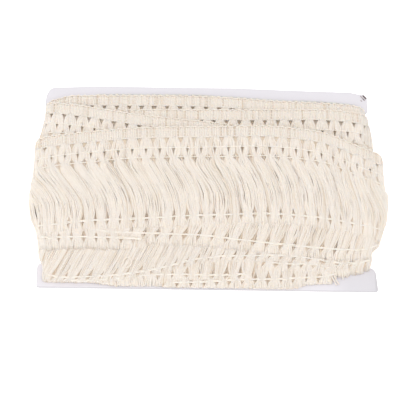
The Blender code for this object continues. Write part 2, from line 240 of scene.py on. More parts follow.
# Tone of the hidden layers, darker as painted shade: behind the top turns' holes, behind the outer lattice,
# elsewhere
HOLE_SHADE_TONE = -0.66
SLIT_SHADE_TONE = -0.4
PALE_SHADE_TONE = -0.58
# What a turn's under yarns add to their tone, as painted shade in the gaps between its top yarns: in general,
# at its tack, at its lattice
UNDER_SHADE_TONE = -0.3
TACK_GAP_SHADE_TONE = -1.2
LATTICE_GAP_SHADE_TONE = -0.8
YARN_TONE_SPREAD = 0.42
# How much paler the yarns' frayed ends are: the fluffy cut ends, and painted light against the shade where
# they lie over the layer below
END_TONE = 0.15
# Shade on the lower turns under the turns above them, and the top yarns' share of it
LOWER_TOP_SHADE = -0.3
TOP_YARNS_SHADE = 0.3

# Stretches of the fall where something begins or ends: place, length of the change
TASSEL_BEGINS = (29, 8)
TASSEL_ENDS = (78, 8)
UNDER_FILLS = (24, 2)
TACK_GAP_BEGINS = (70, 5)
TACK_GAP_ENDS = (86, 3)
LATTICE_GAP_BEGINS = (23, 1)
LATTICE_GAP_ENDS = (34, 3)
FRAYING = (81, 4)
END_SINKS = (81, 6)
TASSEL_TOP = 34.0

# Yarns in half a bundle, in its top layer and under it
OUTER_FRONT_YARNS = (7, 5)
OUTER_BACK_YARNS = (5, 4)
TOP_FRONT_YARNS = (7, 4)
TOP_BACK_YARNS = (5, 3)
LOWER_FRONT_YARNS = (7, 5)
LOWER_BACK_YARNS = (5, 3)

# Share of the tassels that run into their neighbour, and how far they do so or part
JOINED_SHARE = 0.4
JOINED = (-0.08, -0.02)
PARTED = (0, 0.14)
PARTED_AT_SIDE = 0.1
# How far each gap is open: drawn between these, evened out in the lattice, closer near the sides
OPEN_SHARES = (0.6, 1.25)
OPEN_MIDDLE = 0.92
LATTICE_OPEN = 1.12
LATTICE_OPEN_SPREAD = 0.4
SIDE_CLOSES = 0.5

# Unevenness of bundles and yarns
BUNDLE_RISE = 0.18
SWAY = 0.7
SWAY_START = 27
SWAY_LENGTH = 26
YARN_WANDER = 0.2
LATTICE_WANDER = 0.2
YARN_RISE = 0.07
RADIUS_SHARES = (0.86, 1.08)
FRAYED_RADIUS = 0.75
# Least share of the wander, however firm the turn is
LEAST_WANDER = 0.8

# How far the yarns under a turn lie below its top ones, and how much thicker they are
UNDER_DEPTH = 0.75
UNDER_THICKER = 0.18
# How much thicker yarns are near the sides, and how much more those under a turn
SIDE_THICKER = 0.2
UNDER_SIDE_THICKER = 0.3
# How far the yarns' crowns may rise under a turn's reach
CROWN_ROOM = 0.7
# How far the hidden layers keep under the winding's outline at the sides
HIDDEN_DEPTH = 1.7
# How far under the heading above it a bundle starts when nothing of it shows
COVERED_BY = 5.0

# Hidden layers: their full reach, how far they start under each heading, their lower edge
HIDDEN_REACH = 10.6
HIDDEN_SIDE_SLACK = 0.12
HIDDEN_BELOW_HEADING = 4.0
HIDDEN_SIDE_BOTTOM = -63.0
HIDDEN_FRONT_DROP = 16.0
FLUTE_DEPTH = 0.28

# Edge of a deeper turn that peeps out over the top heading
HIDDEN_EDGE_RISE = 2.0
HIDDEN_EDGE_REACH = 1.2
HIDDEN_EDGE_RADIUS = 0.65
HIDDEN_EDGE_DIP = 0.1
HIDDEN_EDGE_BEADS = 0.4
HIDDEN_EDGE_SPAN = (35, 262)

# How far loose tassels bulge round the sides and on the front, and the lattice's share of it
SIDE_FLARE = 7.0
FRONT_PUFF = 1.2
LATTICE_FLARE = 0.6
FRONT_ROOM = 3.0
# Turns no looser than this don't bulge
FIRM = 0.5
# Distances from the middle of the front between which the sides begin
NEAR_SIDE = (112, 130)

# Where the winding's outline runs at its two sides: y, and how far out the yarns may come
LEFT_OUTLINE = (
    (-75, 1.0), (-69, 1.8), (-66, 4.2), (-62, 5.6), (-52, 6.0), (-40, 8.4), (-31, 12.9), (-17, 15.6),
    (-5, 15.0), (13, 12.8), (31, 12.6), (37, 11.6), (46, 8.0), (57, 5.6), (66, 4.8), (80, 4.6),
)
RIGHT_OUTLINE = (
    (-75, 1.4), (-66, 1.8), (-56, 2.2), (-50, 9.7), (-40, 12.6), (-28, 18.2), (-12, 22.8), (-3, 23.2),
    (8, 21.6), (23, 19.8), (36, 16.6), (44, 10.2), (60, 6.2), (80, 5.6),
)

# Borders between bundles, as number and run, at the heading or the tack; the rest are spaced evenly
OUTER_BORDERS = ((0, 6.8), (2, 28.1), (4, 50.6), (7, 85.5), (16, 189.8), (19, 223.1), (22, 252.8))
OUTER_TACK_BORDERS = ((0, 29.3), (2, 48.9), (4, 70.2), (15, 192.6), (19, 233.3), (22, 260.8))

OUTER_TURN = dict(
    line="outer_heading", reach=FULL_REACH, last_fall=END_FALL, borders=OUTER_BORDERS, seed=1,
)
OUTER_TACK = dict(
    line="outer_tack", reach=FULL_REACH - THREAD_DEPTH, dip=0.34, span=None, borders=OUTER_TACK_BORDERS,
)
OUTER_BACK_SEED = 2
OUTER_TACK_SEED = 33
OUTER_HEADING_SEED = 34
# What is added to a turn's seed for the threads of its lattice and its tack
LATTICE_SEED = 30
TACK_SEED = 40
STRAND_SEED = 61
HIDDEN_EDGE_SEED = 71

# Turns of which the upper part shows: reach of the yarns' outer side, last fall that is made
TOP_TURNS = {
    "top_turn_1": dict(
        line="top_heading_1", reach=4.0, last_fall=22.0, borders=((4, 43.3), (8, 85.8)), seed=11,
    ),
    "top_turn_2": dict(
        line="top_heading_2", reach=6.7, last_fall=30.0, seed=12,
        borders=((12, 137), (17, 192.6), (22, 247.2)),
    ),
    "top_turn_3": dict(
        line="top_heading_3", reach=9.3, last_fall=38.0, seed=13,
        borders=((1, 9.6), (4, 41.0), (7, 73.4)),
    ),
}

LOWEST_END = card_low.y / MM + 0.8

# Lowest places of the cut ends near the right ear, as run and y
RIGHT_ENDS = (
    (225, -82.8), (238, -82.8), (241, -80.3), (246, -80.2), (250, -76.6), (260.5, -74.6), (268, -71.4),
)

# Turns of which the lower part shows. slope is how far a tassel moves along the run for each
# millimetre up, span the first and last run, or none for the whole way round, dip how far the tack
# thread dips between tassels, lowest how low the cut ends reach, as run and y, end_drop how far
# they sink, and pinch widens the gaps at the tack. A reach that changes is given as run and reach
LOWER_TURNS = {
    "lower_turn_1": dict(
        line="lower_tack_1", dip=0.42, reach=3.4, slope=0.1, span=(98, 240), seed=21,
        lowest=((100, -87.6), (200, -87.9), (207, -87.2), (213, -84.2), (225, -83.3), (240, -82.8)),
        borders=((11, 118.5), (21, 223.9)),
    ),
    "lower_turn_2": dict(
        line="lower_tack_2", dip=0.42, reach=5.1, slope=0.15, span=(-40, 166), end_drop=1.0, seed=22,
        lowest=((38, -84.6), (58, -87.2), (104, -87.5), (118, -83), (150, -82.6)),
        borders=((10, 114.3), (13, 147.1)),
    ),
    "lower_turn_3": dict(
        line="lower_tack_3", dip=0.42, reach=6.9, slope=0.5, span=None, end_drop=2.4, pinch=1.1, seed=23,
        lowest=((0, -83.9), (60, -84.6)) + RIGHT_ENDS,
        borders=((0, 6.5), (4, 45.2), (8, 86.5), (12, 123.2), (20, 203.2)),
    ),
    "lower_turn_4": dict(
        line="lower_tack_4", dip=0.36, reach=((-60, 10.9), (56, 10.9), (78, 8.6)), slope=-0.05,
        span=(-60, 78), lowest=((0, LOWEST_END),), borders=((1, 10.1), (7, 70.5)), seed=24,
    ),
    "lower_turn_5": dict(
        line="lower_tack_5", dip=0.27, reach=10.4, slope=0.38, span=None, lowest=((0, LOWEST_END),),
        borders=((8, 90.5), (22, 248.1)), seed=25,
    ),
    "right_turn": dict(
        line="right_tack", dip=0.42, reach=5.2, slope=0.3, span=(182, 247), lowest=RIGHT_ENDS,
        borders=((18, 199.8), (23, 249.7)), seed=26,
    ),
}
# The node that stands for the short turn at the lower right, which has none of its own
RIGHT_TURN_NODE = "lower_turn_2"
PINCH = 1.05
# Where the lower turns' tassels come out from under the turns above
LOWER_TOP = -33.0
LOWER_FALLS = (TASSEL_TOP, 45.0, 56.0, 66.0)
LOWER_FIRST_FALL = 71
# How far from the tack the tassels keep their real length
NEAR_TACK = 8.0

# Yarns that strayed: x, y and height over the card's face
LOOSE_STRANDS = {
    "loose_strand_1": (
        (98, -68.5, 4.5), (99.9, -72.6, 4.2), (101.8, -76.4, 3.4), (104.2, -80.6, 2.2), (106.4, -84.0, 0.5),
    ),
    "loose_strand_2": (
        (100.2, -68.5, 5), (102, -72.6, 4.6), (103.9, -76.4, 3.7), (106.2, -80.6, 2.3), (108.6, -83.6, 0.5),
    ),
    "loose_strand_3": (
        (106.9, -64.6, 8), (108.8, -67.6, 6.2), (110.3, -71.8, 4.6), (111, -76.1, 3.3), (111.7, -79.4, 1.2),
    ),
    "curled_strand": (
        (-71, -73, 8.2), (-69.7, -69, 8.8), (-68.6, -66.5, 9.2), (-65.8, -65.2, 9.5), (-63.3, -67.2, 9.4),
        (-63.2, -70.6, 9.2), (-65.2, -73.2, 8.9), (-67.6, -73.6, 8.6),
    ),
}

# Camera, in millimetres, and its axes as seen in the photograph
PHOTO_SIDE = 400
CAMERA_PLACE = (-49.2, -297.5, 863.1)
CAMERA_FOCAL_PIXELS = 1062.0
CAMERA_RIGHT = (0.99871, 0.00178, 0.05084)
CAMERA_UP = (-0.01793, 0.94758, 0.31902)
SENSOR_WIDTH = 36.0


def height_of(line, run):
    """Height of a line of the trim at each run, on a smooth closed curve through its table."""
    left, front, right, back_right, back_left = LINES[line]
    corner = FRONT_RUN + SIDE_RUN
    table = [(-SIDE_RUN / 2, left)]
    table += [(STRAIGHT_HALF + x, y) for x, y in front]
    table += [(FRONT_RUN + SIDE_RUN / 2, right), (corner + STRAIGHT_HALF - 65, back_right)]
    table += [(corner + STRAIGHT_HALF + 65, back_left)]
    places, heights = np.array(table, float).T
    run = (np.asarray(run, float) - places[0]) % LOOP_RUN + places[0]
    places = np.concatenate([places[-1:] - LOOP_RUN, places, places[:2] + LOOP_RUN])
    heights = np.concatenate([heights[-1:], heights, heights[:2]])
    steps = np.diff(places)
    rises = np.diff(heights) / steps
    slopes = (rises[:-1] * steps[1:] + rises[1:] * steps[:-1]) / (steps[1:] + steps[:-1])
    index = np.clip(np.searchsorted(places, run, side="right") - 1, 1, len(places) - 3)
    length = steps[index]
    t = (run - places[index]) / length
    return (
        heights[index] * (2 * t**3 - 3 * t**2 + 1)
        + heights[index + 1] * (3 * t**2 - 2 * t**3)
        + slopes[index - 1] * length * (t**3 - 2 * t**2 + t)
        + slopes[index] * length * (t**3 - t**2)
    )


def border_run(borders, number):
    """Run of the border below each bundle number; bundles between those given are spaced evenly."""
    numbers, runs = np.array(borders, float).T
    numbers = np.concatenate([numbers[-1:] - BUNDLES, numbers, numbers[:1] + BUNDLES])
    runs = np.concatenate([runs[-1:] - LOOP_RUN, runs, runs[:1] + LOOP_RUN])
    number = np.asarray(number, float)
    turns = np.floor((number - numbers[0]) / BUNDLES)
    return np.interp(number - turns * BUNDLES, numbers, runs) + turns * LOOP_RUN


def on_front(run):
    """1 in the middle of the front, 0 on the sides and the back."""
    run = np.asarray(run, float) % LOOP_RUN
    return np.where(run < FRONT_RUN, 1 - (run / STRAIGHT_HALF - 1) ** 4, 0.0)


def on_side(run):
    """0 on the front and the back, 1 half way round a side."""
    run = np.asarray(run, float) % (FRONT_RUN + SIDE_RUN)
    return np.where(run > FRONT_RUN, np.sin(np.pi * (run - FRONT_RUN) / SIDE_RUN) ** 2, 0.0)


def near_side(run):
    """0 on most of the front, 1 on the sides and next to them."""
    run = np.asarray(run, float) % LOOP_RUN
    x = np.where(run < FRONT_RUN, np.abs(run - STRAIGHT_HALF), STRAIGHT_HALF)
    return np.clip((x - NEAR_SIDE[0]) / (NEAR_SIDE[1] - NEAR_SIDE[0]), 0, 1)


def side_spread(run, reach):
    """How much further apart yarns lie round a side than on the front, because of the larger radius."""
    spread = np.maximum(np.pi * (SLOT_HALF + reach) / SIDE_RUN, 1)
    return 1 + (spread - 1) * on_side(run)


def held_in(reach, y, angle, left):
    """Reach drawn in where the winding is tighter at its two sides, with its layers kept in order."""
    out_left = np.interp(y, *np.array(LEFT_OUTLINE, float).T)
    out_right = np.interp(y, *np.array(RIGHT_OUTLINE, float).T)
    out = np.where(left, out_left, out_right) - YARN_RADIUS
    limit = (out + SLOT_HALF) / np.maximum(np.sin(angle), 0.05) - SLOT_HALF
    level = np.maximum(reach, 0.3)
    return level / (1 + (level / limit) ** 6) ** (1 / 6)


def place(run, reach, y, depth=0.0):
    """Places on the winding, in metres, and the outward direction at each. depth is how far
    something lies under the layer that is held in at the sides."""
    run, reach, y = np.broadcast_arrays(np.asarray(run, float) % LOOP_RUN, reach, y)
    mirrored = run >= FRONT_RUN + SIDE_RUN
    sign = np.where(mirrored, -1.0, 1.0)
    run = run - (FRONT_RUN + SIDE_RUN) * mirrored
    straight = run < FRONT_RUN
    angle = np.where(straight, 0.0, np.pi * (run - FRONT_RUN) / SIDE_RUN)
    reach = held_in(reach + depth, y, angle, mirrored) - depth
    radius = SLOT_HALF + reach
    x = np.where(straight, run - STRAIGHT_HALF, STRAIGHT_HALF + radius * np.sin(angle))
    crown = FRONT_CROWN * (1 - ((run - STRAIGHT_HALF) / STRAIGHT_HALF) ** 2)
    z = radius * np.cos(angle) + np.where(straight & ~mirrored, crown, 0.0)
    points = np.stack([x * sign, y, z * sign + MIDDLE_HEIGHT], -1) * MM
    outward = np.stack([np.sin(angle) * sign, np.zeros_like(x), np.cos(angle) * sign], -1)
    return points, outward


def unit(vectors):
    return vectors / np.maximum(np.linalg.norm(vectors, axis=-1, keepdims=True), 1e-12)


def add_mesh(name, verts, faces, tones):
    """A mesh in the scene, with a tone at each vertex."""
    mesh = bpy.data.meshes.new(name)
    mesh.from_pydata(verts.reshape(-1, 3).tolist(), [], faces)
    attribute = mesh.attributes.new("tone", "FLOAT", "POINT")
    attribute.data.foreach_set("value", tones.astype(np.float32).ravel())
    obj = bpy.data.objects.new(name, mesh)
    bpy.context.scene.collection.objects.link(obj)
    return obj


def tubes(name, points, outward, radius, sides, tone, closed=False):
    """One mesh of many tubes, all with the same number of stations. points is tube x station x 3."""
    count, stations, _ = points.shape
    if closed:
        along = unit(np.roll(points, -1, 1) - np.roll(points, 1, 1))
    else:
        along = unit(np.gradient(points, axis=1))
    across = unit(np.cross(along, outward))
    upward = np.cross(across, along)
    angles = 2 * np.pi * np.arange(sides) / sides
    radius = np.broadcast_to(radius, (count, stations))[:, :, None, None] * MM
    ring = across[:, :, None] * np.cos(angles)[:, None] + upward[:, :, None] * np.sin(angles)[:, None]
    index = np.arange(count * stations * sides).reshape(count, stations, sides)
    here, after = (index, np.roll(index, -1, 1)) if closed else (index[:, :-1], index[:, 1:])
    quads = np.stack([here, np.roll(here, -1, 2), np.roll(after, -1, 2), after], -1).reshape(-1, 4)
    step = np.linalg.norm(np.diff(points, axis=1), axis=-1)
    lengths = np.concatenate([np.zeros((count, 1)), np.cumsum(step, 1)], 1) / MM
    last = np.concatenate([lengths[:, 1:], lengths[:, -1:] + step[:, -1:] / MM], 1)
    rows = here.shape[1]
    u0, v0, v1 = (
        np.broadcast_to(values, (count, rows, sides))
        for values in (np.arange(sides) / sides, lengths[:, :rows, None], last[:, :rows, None])
    )
    turn = 1 / sides
    uv = np.stack([u0, v0, u0 + turn, v0, u0 + turn, v1, u0, v1], -1).reshape(-1, 2)
    faces = quads.tolist()
    if not closed:
        ends = np.concatenate([index[:, 0, ::-1], index[:, -1]])
        faces += ends.tolist()
        cap_length = np.concatenate([lengths[:, 0], lengths[:, -1]])
        uv = np.concatenate([uv, np.stack([np.zeros(ends.size), np.repeat(cap_length, sides)], -1)])
    tone = np.asarray(tone, float)
    tones = np.broadcast_to(tone if tone.ndim == 2 else tone[:, None], (count, stations))
    obj = add_mesh(name, points[:, :, None] + radius * ring, faces, np.repeat(tones, sides, 1))
    layer = obj.data.uv_layers.new(name="yarn")
    layer.data.foreach_set("uv", uv.astype(np.float32).ravel())
    obj.data.shade_smooth()
    return obj


def smooth_wander(rng, count, falls, size, waves=3, longest=60.0):
    """Slow random wandering of each yarn along its fall."""
    total = np.zeros((count, len(falls)))
    for wave in range(1, waves + 1):
        phase = rng.uniform(0, 2 * np.pi, (count, 1))
        strength = rng.normal(0, size / wave, (count, 1))
        total += strength * np.sin(2 * np.pi * wave * falls / longest + phase)
    return total


def yarns_of(numbers, top_count, under_count, rng):
    """Every yarn of the bundles: number of its bundle, side of its middle, place across, layer."""
    rows = []
    for number in numbers:
        for side in (-1, 1):
            for layer, count in ((0, top_count), (1, under_count)):
                for i in range(count):
                    if layer:
                        across = min(1, (i + rng.uniform(-0.15, 0.15)) / (count - 1))
                    else:
                        across = (i + 0.5 + rng.uniform(-0.35, 0.35)) / count
                    rows.append((number, side, across, layer))
    return np.array(rows, float)


def bundle_numbers(span, borders):
    """Bundles of a turn: those on the front and round both sides, and those on the back."""
    numbers = np.arange(-BUNDLES // 2, 2 * BUNDLES)
    middles = border_run(borders, numbers + 0.5)
    if span is None:
        keep = (middles > -SIDE_RUN) & (middles <= LOOP_RUN - SIDE_RUN)
    else:
        keep = (middles > span[0]) & (middles < span[1])
    seen = (middles > -SIDE_RUN) & (middles < FRONT_RUN + SIDE_RUN)
    return numbers[keep & seen], numbers[keep & ~seen]


def with_fewer_falls(falls):
    """The first fall, the last one and every second one between them, for the back."""
    return np.unique(np.concatenate([falls[:1], falls[::-2]]))


def uncovered(numbers, turn, covers):
    """Those bundles of a turn that show somewhere above the turns that lie over it."""
    middles = border_run(turn["borders"], numbers + 0.5)
    cover = np.max([height_of(line, middles) for line in covers], axis=0)
    return numbers[height_of(turn["line"], middles) - FALLS[0] > cover - COVERED_BY]


def rising(falls, start, length):
    """0 down to start, then rising to 1 over the length."""
    return np.clip((falls - start) / length, 0, 1)


def sinking(falls, end, length):
    """1 at first, then sinking over the length to 0 at the end."""
    return np.clip((end - falls) / length, 0, 1)


def make_yarns(
    name, yarns, falls, reach, rng, borders_at, y_of, loose=1.0, end_drop=0.0, pinch=1.0, top_shade=0.0
):
    """The yarns of a turn. borders_at gives the runs of the borders of bundles at each fall."""
    table = [np.interp(falls, FALLS, HALF_BUNDLE[:, column]) for column in range(1, 5)]
    near, far, knot, crown = (column[None] for column in table)
    number, side, across, layer = (yarns[:, i : i + 1] for i in range(4))
    bundle = (number.astype(int) % BUNDLES).ravel()
    border = ((number + (side > 0)).astype(int) % BUNDLES).ravel()
    # Some tassels part from their neighbour and others run into it
    joined = rng.random(BUNDLES) < JOINED_SHARE
    parting = np.where(joined, rng.uniform(*JOINED, BUNDLES) * loose, rng.uniform(*PARTED, BUNDLES))
    parting = parting[border][:, None]
    open_share = rng.uniform(*OPEN_SHARES, BUNDLES)[border][:, None]
    rise = rng.normal(0, BUNDLE_RISE, BUNDLES)[bundle][:, None]
    in_tassel = rising(falls, *TASSEL_BEGINS) * sinking(falls, *TASSEL_ENDS)
    at_side = near_side(borders_at(number + 0.5, falls))
    far = far + np.where(at_side > 0, np.maximum(parting, PARTED_AT_SIDE), parting) * in_tassel
    in_lattice = LATTICE_OPEN + LATTICE_OPEN_SPREAD * (open_share - OPEN_MIDDLE)
    open_share = np.where(falls < TASSEL_TOP, in_lattice, open_share * (1 - SIDE_CLOSES * at_side))
    far = 1 - (1 - far) * np.where(np.abs(falls - TACK_FALL) < NEAR_TACK, pinch, 1.0) * open_share
    far = np.where(layer > 0, np.maximum(far, rising(falls, *UNDER_FILLS)), far)
    position = near + across * (far - near)
    sway_phase = rng.uniform(0, 2 * np.pi, BUNDLES)
    sway_size = rng.normal(0, SWAY, BUNDLES)

    def border_at(number):
        place_in_loop = number.astype(int).ravel() % BUNDLES
        phase, size = (values[place_in_loop][:, None] for values in (sway_phase, sway_size))
        sway = np.sin(np.pi * (falls - SWAY_START) / SWAY_LENGTH + phase)
        return borders_at(number, falls) + loose * size * sway * in_tassel

    wander = smooth_wander(rng, len(yarns), falls, YARN_WANDER)
    wander = wander * (LATTICE_WANDER + in_tassel) * max(loose, LEAST_WANDER)
    left, right = border_at(number), border_at(number + 1)
    run = (left + right) / 2 + side * position * (right - left) / 2 + wander
    height = crown * (1 - np.minimum(1, (position - knot) ** 2)) + rise * in_tassel
    height = height - layer * UNDER_DEPTH + smooth_wander(rng, len(yarns), falls, YARN_RISE) * loose
    at_reach = np.interp(run, *np.array(reach, float).T) if isinstance(reach, tuple) else reach
    bend = np.interp(falls, *np.array(END_BEND).T) + end_drop * rising(falls, *END_SINKS)
    level = at_reach - YARN_RADIUS - CROWN_ROOM + height - bend
    flared = np.maximum(in_tassel, LATTICE_FLARE) * SIDE_FLARE * on_side(run)
    level = level + (flared + FRONT_PUFF * on_front(run) * in_tassel) * loose * (loose > FIRM)
    # The full reach makes the back flat
    most = FULL_REACH - YARN_RADIUS + FRONT_ROOM * on_front(run) + SIDE_FLARE * on_side(run)
    level = np.minimum(level, most)
    y = y_of(number + 0.5, falls, side * across / 2)
    points, outward = place(run, level, y, layer * UNDER_DEPTH)
    under_thicker = layer * (UNDER_THICKER + UNDER_SIDE_THICKER * near_side(run))
    thicker = 1 + SIDE_THICKER * near_side(run) + under_thicker
    radius = YARN_RADIUS * rng.uniform(*RADIUS_SHARES, (len(yarns), 1)) * side_spread(run, level) * thicker
    if falls[-1] > TACK_FALL:
        radius[:, -1] *= FRAYED_RADIUS
    at_tack = rising(falls, *TACK_GAP_BEGINS) * sinking(falls, *TACK_GAP_ENDS)
    at_lattice = rising(falls, *LATTICE_GAP_BEGINS) * sinking(falls, *LATTICE_GAP_ENDS)
    # Painted shade: the under yarns darken, most at the tack and the lattice, in the gaps between the top
    # yarns
    under_shade_tone = UNDER_SHADE_TONE + (TACK_GAP_SHADE_TONE - UNDER_SHADE_TONE) * at_tack
    under_shade_tone = under_shade_tone + (LATTICE_GAP_SHADE_TONE - UNDER_SHADE_TONE) * at_lattice
    tone = rng.normal(0, YARN_TONE_SPREAD, (len(yarns), 1)) + layer * under_shade_tone
    # Paler frayed ends: the fluffy cut ends, and painted light against the shade below them
    tone = tone + END_TONE * rising(falls, *FRAYING)
    tone = tone + top_shade * (TOP_YARNS_SHADE + layer) * sinking(falls, *FRAYING)
    return tubes(name, points, outward, radius, 4, tone)


def make_outer_yarns(name, numbers, counts, seed, falls=FALLS):
    rng = np.random.default_rng(seed)
    yarns = yarns_of(numbers, *counts, rng)
    lean = np.interp(falls, FALLS, HALF_BUNDLE[:, 5])
    end = np.clip(rng.normal(0, 0.7, (len(yarns), 1)), -1.6, 1.6)

    def borders_at(number, falls):
        head = border_run(OUTER_BORDERS, number)
        return head + lean * (border_run(OUTER_TACK_BORDERS, number) - head)

    def y_of(middle, falls, aside):
        head = height_of("outer_heading", border_run(OUTER_BORDERS, middle))
        tack = height_of("outer_tack", border_run(OUTER_TACK_BORDERS, middle))
        y = head + (tack - head) * np.minimum(falls, TACK_FALL) / TACK_FALL
        past = np.maximum(falls - TACK_FALL, 0)
        return y - past - end * past / (END_FALL - TACK_FALL)

    return make_yarns(name, yarns, falls, FULL_REACH, rng, borders_at, y_of)


def make_top_yarns(name, turn, numbers, counts, on_back):
    rng = np.random.default_rng(turn["seed"] + counts[0])
    yarns = yarns_of(numbers, *counts, rng)
    falls = FALLS[FALLS <= turn["last_fall"]]
    falls = with_fewer_falls(falls) if on_back else falls

    def borders_at(number, falls):
        return border_run(turn["borders"], number) * np.ones_like(falls)

    def y_of(middle, falls, aside):
        return height_of(turn["line"], border_run(turn["borders"], middle)) - falls

    return make_yarns(name, yarns, falls, turn["reach"], rng, borders_at, y_of, loose=0.6)


def make_lower_yarns(name, turn, numbers, counts, on_back):
    rng = np.random.default_rng(turn["seed"] + counts[0])
    yarns = yarns_of(numbers, *counts, rng)
    drop = TACK_FALL - TASSEL_TOP
    falls = np.concatenate([LOWER_FALLS, FALLS[FALLS > LOWER_FIRST_FALL]])
    falls = with_fewer_falls(falls) if on_back else falls
    end = np.clip(rng.normal(0, 0.5, (len(yarns), 1)), -1.2, 1.2)

    def above(middle, falls):
        """The first millimetres over the tack are as long as they are; the rest is shortened."""
        tack = height_of(turn["line"], border_run(turn["borders"], middle))
        up = np.maximum(TACK_FALL - falls, 0)
        whole = LOWER_TOP - tack
        first = np.minimum(NEAR_TACK, 0.6 * whole)
        rest = np.maximum(up - NEAR_TACK, 0) / (drop - NEAR_TACK) * (whole - first)
        return tack, np.minimum(up, NEAR_TACK) / NEAR_TACK * first + rest

    def borders_at(number, falls):
        past = np.clip(falls - TACK_FALL, 0, 4)
        return border_run(turn["borders"], number) + turn["slope"] * (above(number, falls)[1] - past)

    def y_of(middle, falls, aside):
        tack, risen = above(middle, falls)
        past = np.maximum(falls - TACK_FALL, 0)
        y = tack + risen - past - end * past / (END_FALL - TACK_FALL)
        lowest = np.interp(border_run(turn["borders"], middle + aside), *np.array(turn["lowest"], float).T)
        return np.maximum(y, lowest + 0.5 * end * past / (END_FALL - TACK_FALL))

    return make_yarns(
        name, yarns, falls, turn["reach"], rng, borders_at, y_of, loose=0.4,
        end_drop=turn.get("end_drop", 0.0), pinch=turn.get("pinch", PINCH), top_shade=LOWER_TOP_SHADE,
    )


def outer_flare(runs, reach):
    """How far the outer turn's heading and threads stand out round the sides; 0 for other turns."""
    return LATTICE_FLARE * SIDE_FLARE * on_side(runs) * (reach > FULL_REACH - 1)


def make_thread(name, line, rise, reach, radius, span, borders, seed, dip, beads=0.0):
    """A sewn thread along a line of the trim, dipping a little between the bundles."""
    rng = np.random.default_rng(seed)
    closed = span is None
    runs = ring_runs(THREAD_STEP) if closed else np.arange(span[0], span[1], THREAD_STEP)
    whole_numbers = np.arange(-BUNDLES, 2 * BUNDLES)
    numbers = np.interp(runs, border_run(borders, whole_numbers), whole_numbers)
    wave = np.cos(2 * np.pi * numbers)
    slow = np.sin(runs / 9 + rng.uniform(0, 6)) + np.sin(runs / 23 + rng.uniform(0, 6))
    dips = dip * (wave - 1)
    lift = reach + THREAD_LIFT + dips + 0.05 * rng.normal(0, 1, len(runs)) + outer_flare(runs, reach)
    y = height_of(line, runs) + rise + 0.1 * rng.normal(0, 1, len(runs))
    y = y + 0.15 * slow * (0.7 if closed else 1)
    points, outward = place(runs, lift, y)
    radii = radius * (1 + 0.14 * rng.normal(0, 1, (1, len(runs))) + beads * np.cos(4 * np.pi * numbers))
    return tubes(name, points[None], outward[None], radii, 6, [1.0], closed)


def smooth_path(places, count):
    """Points on a smooth curve through the places."""
    places = np.array(places, float)
    padded = np.concatenate([2 * places[:1] - places[1:2], places, 2 * places[-1:] - places[-2:-1]])
    t = np.linspace(0, len(places) - 1, count)
    index = np.minimum(t.astype(int), len(places) - 2)
    share = (t - index)[:, None]
    a, b, c, d = (padded[index + i] for i in range(4))
    bend = (2 * a - 5 * b + 4 * c - d) * share**2 + (3 * b - a - 3 * c + d) * share**3
    return b + 0.5 * ((c - a) * share + bend)


def make_loose_strand(name, places, seed):
    """Two yarns side by side that strayed from a tassel."""
    rng = np.random.default_rng(seed)
    path = smooth_path(places, 24)
    path[:, 2] += CARD_TOP
    across = unit(np.cross(np.gradient(path, axis=0), (0, 0, 1)))
    points = np.stack([path + aside * STRAND_RADIUS * across for aside in (-0.75, 0.75)]) * MM
    outward = np.broadcast_to((0.0, 0.0, 1.0), points.shape)
    return tubes(name, points, outward, STRAND_RADIUS, 6, rng.normal(0.0, 0.2, 2))


def ring_runs(step):
    return np.linspace(0, LOOP_RUN, round(LOOP_RUN / step), endpoint=False)


def make_heading(name, turn, seed):
    """A ribbed band: short upright yarns between two stitched edges, with a scalloped top."""
    line, reach, borders = turn["line"], turn["reach"], turn["borders"]
    rng = np.random.default_rng(seed)
    count = BUNDLES * RIBS_PER_BUNDLE
    numbers = (np.arange(count) + 0.5) / RIBS_PER_BUNDLE
    runs = border_run(borders, numbers) + rng.normal(0, 0.07, count)
    scallop = np.abs(np.cos(2 * np.pi * numbers))[:, None]
    # Four ribs stand together as one stitch, nearer to each other at both ends
    aside = ((2 * numbers) % 1 - 0.5)[:, None] * PITCH / 2
    y = height_of(line, runs)[:, None] - RIB_FALLS + SCALLOP * scallop * np.clip(1 - RIB_FALLS / 4, 0, 1)
    tilt = rng.normal(0, 0.08, (count, 1)) * (RIB_FALLS - HEADING_HEIGHT / 2) / HEADING_HEIGHT
    tilt = tilt - 0.10 * aside * np.abs(RIB_FALLS / (HEADING_HEIGHT / 2) - 1) ** 2
    level = reach - RIB_RADIUS - 0.1 + RIB_LIFTS + rng.normal(0, 0.04, (count, 1)) - 0.04 * aside**2
    level = level + outer_flare(runs, reach)[:, None]
    points, outward = place(runs[:, None] + tilt, level, y)
    radius = RIB_RADIUS * side_spread(runs[:, None] + tilt, level)
    tones = rng.normal(RIB_TONE, RIB_TONE_SPREAD, count)
    pieces = [tubes(name + "_ribs", points, outward, radius, 4, tones)]
    count = BUNDLES * STITCHES_PER_BUNDLE * STITCH_STEPS
    numbers = np.arange(count) / count * BUNDLES
    runs = border_run(borders, numbers)
    wave = np.cos(2 * np.pi * numbers * STITCHES_PER_BUNDLE)
    scallop = np.abs(np.cos(2 * np.pi * numbers))
    for number, (fall, cord_radius, rise) in enumerate(HEADING_CORDS):
        y = height_of(line, runs) - fall + 0.1 * rng.normal(0, 1, count) + SCALLOP * scallop * (number == 0)
        level = reach - cord_radius - 0.25 + 0.1 * wave + rise + outer_flare(runs, reach)
        points, outward = place(runs, level, y)
        radius = cord_radius * (1 + 0.25 * wave)[None]
        edge = f"{name}_edge_{number + 1}"
        pieces.append(tubes(edge, points[None], outward[None], radius, 5, [0.0], True))
    return pieces


